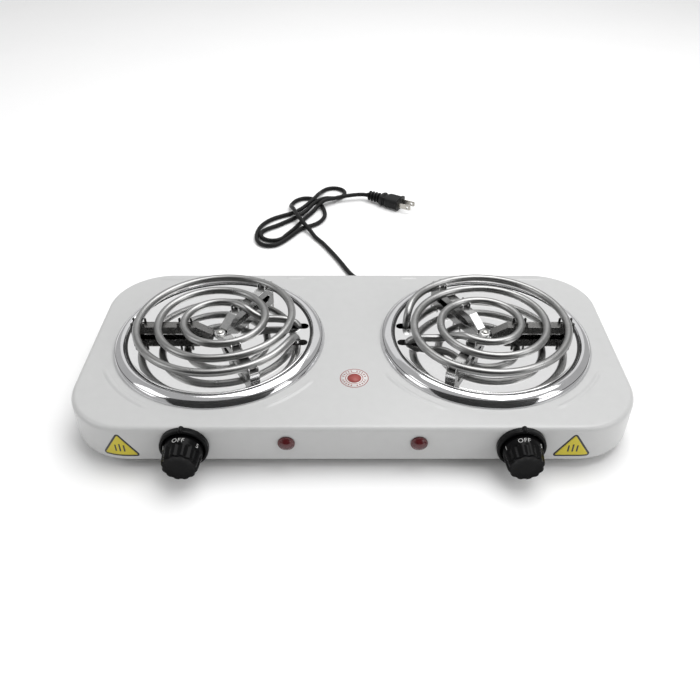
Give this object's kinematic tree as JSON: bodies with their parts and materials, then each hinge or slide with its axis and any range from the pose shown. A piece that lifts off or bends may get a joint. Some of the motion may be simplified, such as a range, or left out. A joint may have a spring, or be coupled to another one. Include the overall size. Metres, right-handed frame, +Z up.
{
  "type": "hot plate burner",
  "caption": "Countertop electric hot plate with coil elements on chrome rings and mirror plates, front knobs, indicator lamps, rubber feet and a mains cord with a two-pin plug.",
  "frame": {"origin": "centre of the footprint, knobs included and cord left out, on the surface that the feet stand on", "axes": "+X to the right, +Y to the back, away from the knobs, +Z up"},
  "size_m": [0.48, 0.5452, 0.0678],
  "materials": {
    "housing_paint": "gloss white baked enamel",
    "plated_steel": "zinc plated sheet",
    "fastener_steel": "plated",
    "foot_rubber": "matte",
    "ring_chrome": "polished",
    "mirror_steel": "mirror polished",
    "element_sheath": "satin",
    "arm_steel": "bright sheet",
    "block_ceramic": "dark, unglazed",
    "inner_plastic": "moulded",
    "bezel_plastic": "satin black",
    "knob_plastic": "satin black",
    "lens_red": "clear dark red",
    "wire_insulation": "heat proof sleeve",
    "cord_pvc": "satin black",
    "plug_pvc": "satin black",
    "blade_brass": "nickel plated"
  },
  "bodies": {
    "root": {"top_housing": "housing_paint", "base_plate": "plated_steel", "base_screws": "fastener_steel", "foot_front_left": "foot_rubber", "foot_front_right": "foot_rubber", "foot_back_left": "foot_rubber", "foot_back_right": "foot_rubber", "burner_ring_left": "ring_chrome", "burner_ring_right": "ring_chrome", "mirror_plate_left": "mirror_steel", "mirror_plate_right": "mirror_steel", "coil_left": "element_sheath", "coil_right": "element_sheath", "support_arm_left_1": "arm_steel", "support_arm_left_2": "arm_steel", "support_arm_left_3": "arm_steel", "support_arm_right_1": "arm_steel", "support_arm_right_2": "arm_steel", "support_arm_right_3": "arm_steel", "support_hub_left": "arm_steel", "support_hub_right": "arm_steel", "hub_bolt_left": "fastener_steel", "hub_bolt_right": "fastener_steel", "hub_nuts": "fastener_steel", "clamp_bar_left": "plated_steel", "clamp_bar_right": "plated_steel", "terminal_block_left": "block_ceramic", "terminal_block_right": "block_ceramic", "block_bracket_left": "plated_steel", "block_bracket_right": "plated_steel", "element_tabs_left": "fastener_steel", "element_tabs_right": "fastener_steel", "regulator_left": "inner_plastic", "regulator_right": "inner_plastic", "bushing_nuts": "fastener_steel", "knob_bezel_left": "bezel_plastic", "knob_bezel_right": "bezel_plastic", "lamp_lens_left": "lens_red", "lamp_lens_right": "lens_red", "lamp_holder_left": "inner_plastic", "lamp_holder_right": "inner_plastic", "lamp_lead_left": "wire_insulation", "lamp_lead_right": "wire_insulation", "supply_lead_left": "wire_insulation", "supply_lead_right": "wire_insulation", "element_lead_left": "wire_insulation", "element_lead_right": "wire_insulation", "junction_block": "inner_plastic", "inner_cord": "cord_pvc", "cord_gland": "cord_pvc", "power_cord": "cord_pvc", "cord_hank": "cord_pvc", "cord_tail": "cord_pvc", "plug_body": "plug_pvc", "plug_blades": "blade_brass"},
    "knob_left_turning": {"knob_left": "knob_plastic", "regulator_shaft_left": "fastener_steel"},
    "knob_right_turning": {"knob_right": "knob_plastic", "regulator_shaft_right": "fastener_steel"}
  },
  "joints": [
    {"name": "knob_left_turn", "type": "hinge", "parent": "root", "child": "knob_left_turning", "pos_m": [-0.137, -0.103, 0.0265], "axis": [0, 1, 0], "range_deg": [0, 300]},
    {"name": "knob_right_turn", "type": "hinge", "parent": "root", "child": "knob_right_turning", "pos_m": [0.137, -0.103, 0.0265], "axis": [0, 1, 0], "range_deg": [0, 300]}
  ]
}
